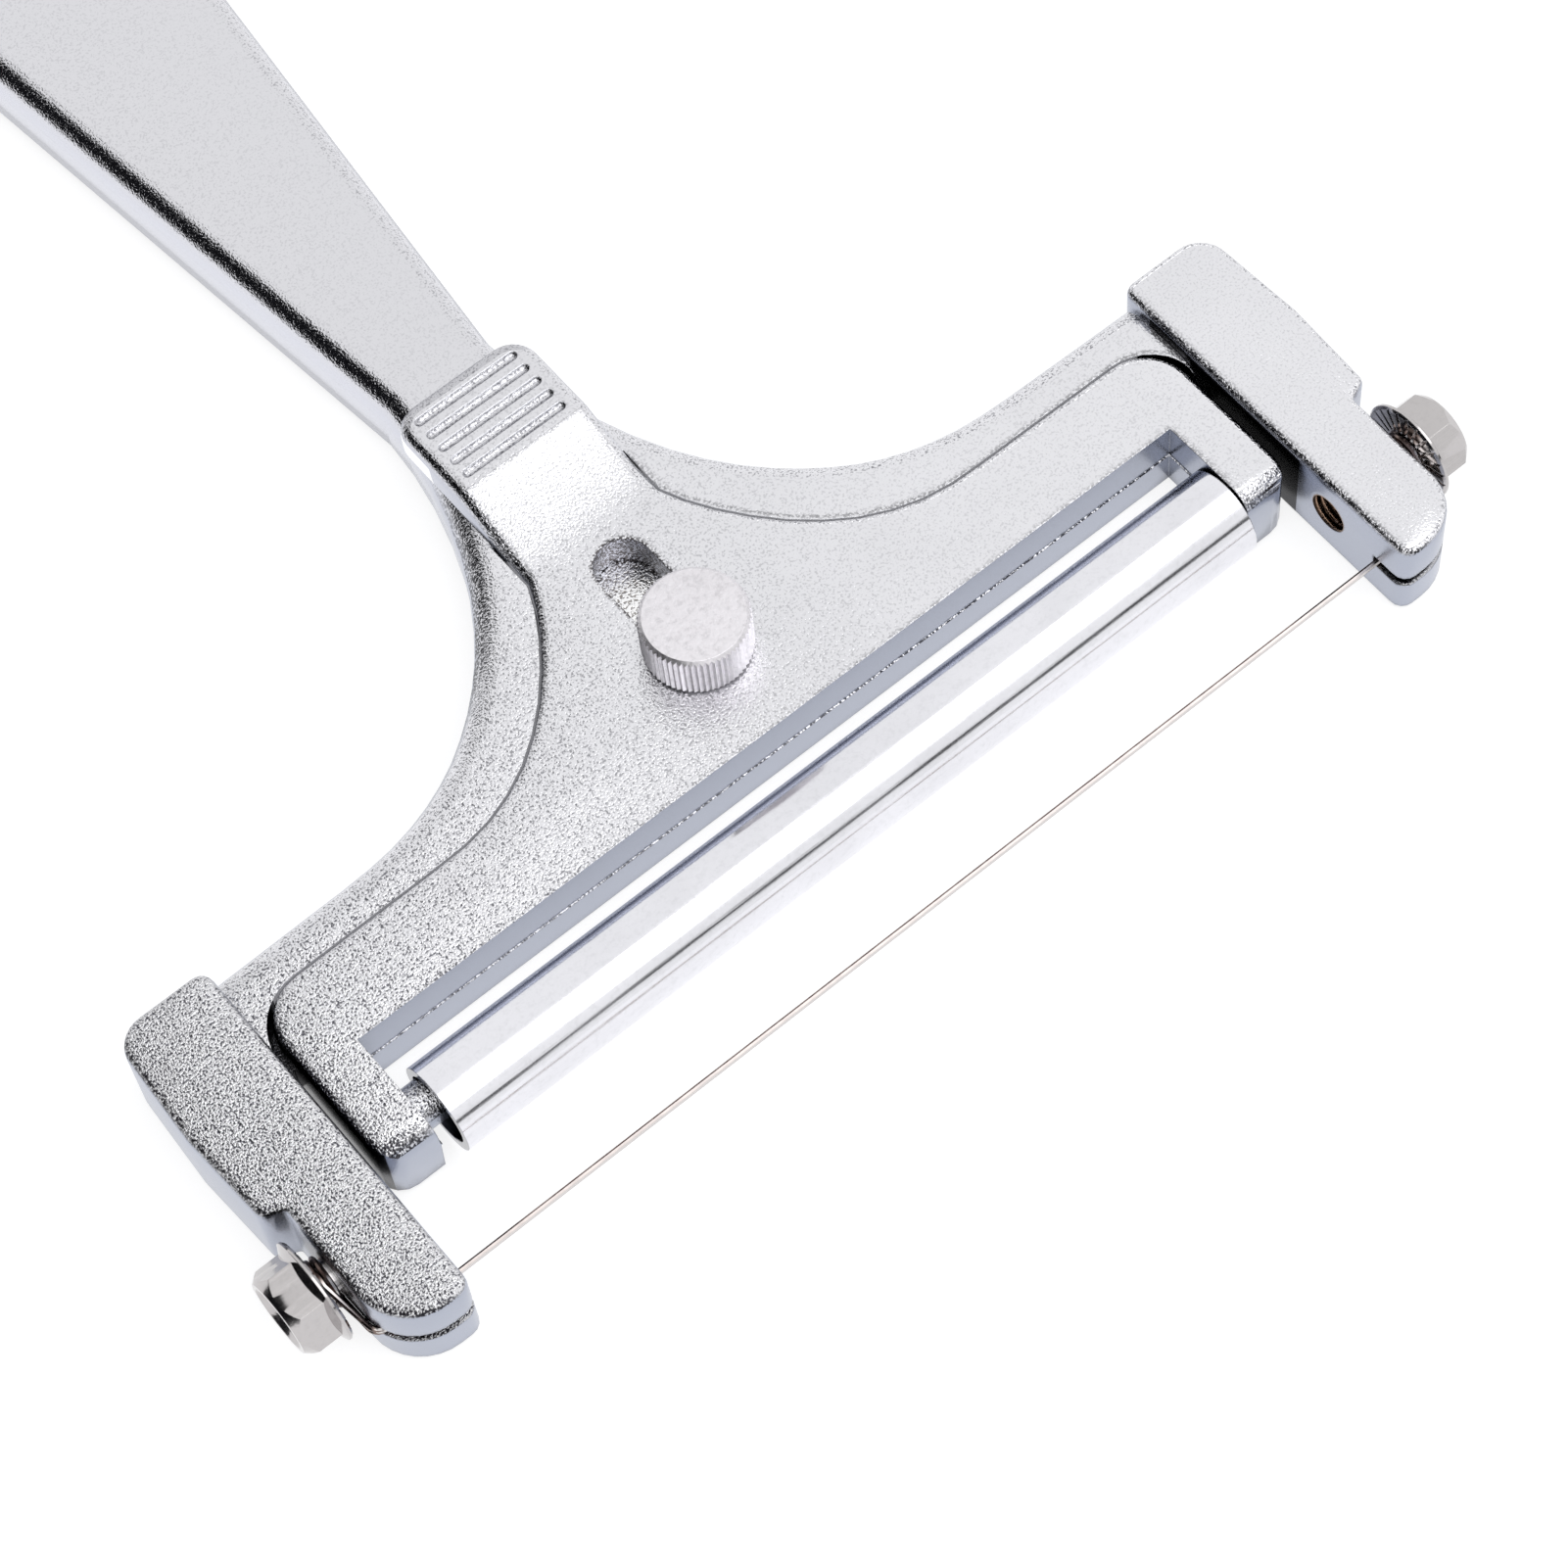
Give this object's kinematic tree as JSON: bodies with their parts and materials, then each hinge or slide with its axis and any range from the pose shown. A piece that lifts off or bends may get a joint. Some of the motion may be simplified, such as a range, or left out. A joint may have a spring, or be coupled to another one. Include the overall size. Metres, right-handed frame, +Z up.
{
  "type": "adjustable wire cheese slicer",
  "caption": "Hand cheese slicer: a cast handle with a yoke holds a taut wire, and a sliding plate with a roller sets the slice thickness.",
  "frame": {"origin": "middle of the bounding box at the table, the slicer lying flat", "axes": "+X along the wire, +Y toward the end of the handle, +Z up out of the face that carries the thumbscrew"},
  "size_m": [0.1364, 0.1838, 0.0144],
  "materials": {
    "cast_metal": "satin cast, fine grain",
    "plate_metal": "satin cast, fine grain",
    "roller_metal": "smooth drawn",
    "screw_metal": "nickel plated",
    "wire_metal": "bright drawn"
  },
  "bodies": {
    "frame": {"frame_casting": "cast_metal", "cutting_wire": "wire_metal"},
    "slider": {"adjuster_plate": "plate_metal"},
    "roller": {"roller_tube": "roller_metal"},
    "lock_screw": {"thumbscrew": "screw_metal"},
    "left_screw": {"clamp_screw_left": "screw_metal"},
    "right_screw": {"clamp_screw_right": "screw_metal"}
  },
  "joints": [
    {"name": "thickness_slide", "type": "slide", "parent": "frame", "child": "slider", "axis": [0, -1, 0], "range_m": [0, 0.008]},
    {"name": "roller_spin", "type": "hinge", "parent": "slider", "child": "roller", "pos_m": [0, -0.07471, 0.00457], "axis": [1, 0, 0], "continuous": true},
    {"name": "thumbscrew_turn", "type": "hinge", "parent": "frame", "child": "lock_screw", "pos_m": [0, -0.0554, 0.01], "axis": [0, 0, 1], "range_deg": [0, 720]},
    {"name": "left_screw_turn", "type": "hinge", "parent": "frame", "child": "left_screw", "pos_m": [-0.064, -0.0816, 0.0053], "axis": [-1, 0, 0], "range_deg": [0, 1080]},
    {"name": "right_screw_turn", "type": "hinge", "parent": "frame", "child": "right_screw", "pos_m": [0.064, -0.0816, 0.0053], "axis": [1, 0, 0], "range_deg": [0, 1080]}
  ]
}
